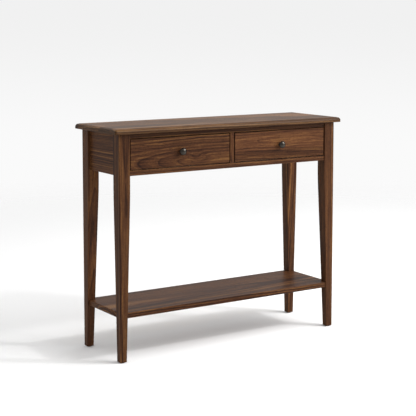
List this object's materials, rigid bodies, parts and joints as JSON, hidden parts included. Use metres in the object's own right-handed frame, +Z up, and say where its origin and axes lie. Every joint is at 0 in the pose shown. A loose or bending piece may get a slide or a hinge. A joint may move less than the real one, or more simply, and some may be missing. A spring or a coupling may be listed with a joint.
{
  "type": "console table",
  "caption": "Narrow wooden console table with tapered legs, drawers on wooden runners under a rounded top, and a low shelf notched round the legs.",
  "frame": {"origin": "on the floor, under the middle of the table", "axes": "+X along the table's length, +Y towards its back so that the drawers open along -Y, +Z up"},
  "size_m": [0.96, 0.3035, 0.8],
  "materials": {
    "walnut": "satin lacquer",
    "maple": "bare, sanded",
    "birch": "bare, sanded",
    "pewter": "dark brushed pewter on a zinc casting",
    "zinc_plated_steel": "zinc plated",
    "nylon": "matt"
  },
  "bodies": {
    "table": {"table_top": "walnut", "front_left_leg": "walnut", "front_right_leg": "walnut", "rear_left_leg": "walnut", "rear_right_leg": "walnut", "upper_front_rail": "walnut", "lower_front_rail": "walnut", "centre_divider": "walnut", "left_side_apron": "walnut", "right_side_apron": "walnut", "rear_apron": "walnut", "left_runner": "maple", "centre_runner": "maple", "right_runner": "maple", "left_kicker": "maple", "centre_kicker": "maple", "right_kicker": "maple", "left_guide": "maple", "centre_guide": "maple", "right_guide": "maple", "left_drawer_stop": "maple", "right_drawer_stop": "maple", "lower_shelf": "walnut", "shelf_dowels": "birch", "top_screws": "zinc_plated_steel", "guide_screws": "zinc_plated_steel", "floor_glides": "nylon"},
    "left_drawer": {"left_drawer_front": "walnut", "left_drawer_outer_side": "maple", "left_drawer_inner_side": "maple", "left_drawer_back": "maple", "left_drawer_bottom": "birch", "left_knob": "pewter", "left_knob_screw": "zinc_plated_steel", "left_bottom_screws": "zinc_plated_steel"},
    "right_drawer": {"right_drawer_front": "walnut", "right_drawer_outer_side": "maple", "right_drawer_inner_side": "maple", "right_drawer_back": "maple", "right_drawer_bottom": "birch", "right_knob": "pewter", "right_knob_screw": "zinc_plated_steel", "right_bottom_screws": "zinc_plated_steel"}
  },
  "joints": [
    {"name": "left_drawer_slide", "type": "slide", "parent": "table", "child": "left_drawer", "axis": [0, -1, 0], "range_m": [0, 0.16]},
    {"name": "right_drawer_slide", "type": "slide", "parent": "table", "child": "right_drawer", "axis": [0, -1, 0], "range_m": [0, 0.16]}
  ]
}
